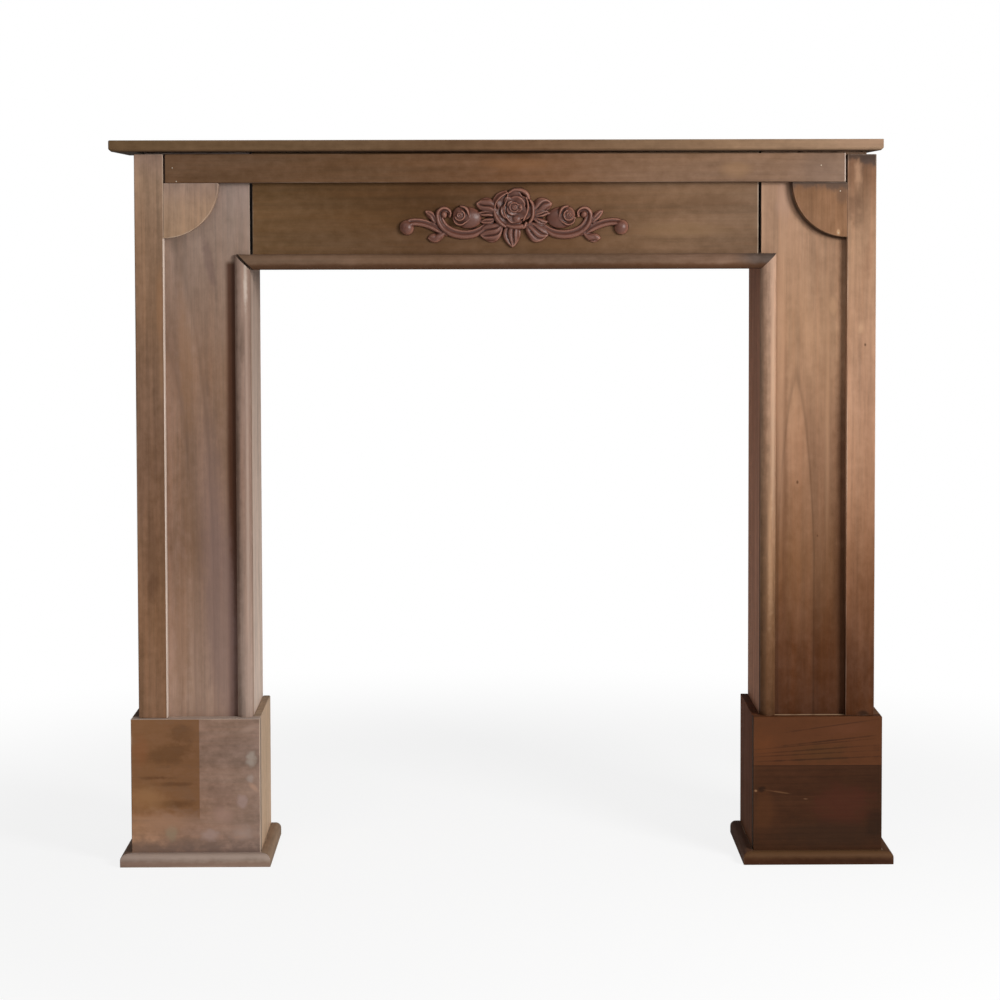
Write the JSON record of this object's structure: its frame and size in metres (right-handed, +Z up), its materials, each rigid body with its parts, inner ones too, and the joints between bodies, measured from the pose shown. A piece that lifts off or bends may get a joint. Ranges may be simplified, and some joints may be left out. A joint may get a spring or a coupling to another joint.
{
  "type": "fireplace mantel",
  "caption": "Wooden fireplace mantel with hollow board legs on boxed plinths, a half-round bead round the opening, a carved rose on the frieze and a plain shelf.",
  "frame": {"origin": "on the floor, under the middle of the whole mantel's box", "axes": "+Z up, the front faces -Y, +X to the right as seen from the front"},
  "size_m": [1.11, 0.197, 1.032],
  "materials": {
    "stained_wood": "worn matt brown stain on plain boards, browner to the right",
    "carved_wood": "reddish brown matt carving"
  },
  "bodies": {
    "root": {"shelf": "stained_wood", "top_rail": "stained_wood", "frieze": "stained_wood", "soffit": "stained_wood", "lintel_bead": "stained_wood", "carved_rose": "carved_wood", "left_outer_side": "stained_wood", "left_inner_side": "stained_wood", "left_leg_panel": "stained_wood", "left_stile": "stained_wood", "left_quadrant": "stained_wood", "left_leg_bead": "stained_wood", "left_plinth_front": "stained_wood", "left_plinth_outer": "stained_wood", "left_plinth_inner": "stained_wood", "left_base_front": "stained_wood", "left_base_outer": "stained_wood", "left_base_inner": "stained_wood", "right_outer_side": "stained_wood", "right_inner_side": "stained_wood", "right_leg_panel": "stained_wood", "right_stile": "stained_wood", "right_quadrant": "stained_wood", "right_leg_bead": "stained_wood", "right_plinth_front": "stained_wood", "right_plinth_outer": "stained_wood", "right_plinth_inner": "stained_wood", "right_base_front": "stained_wood", "right_base_outer": "stained_wood", "right_base_inner": "stained_wood"}
  },
  "joints": []
}
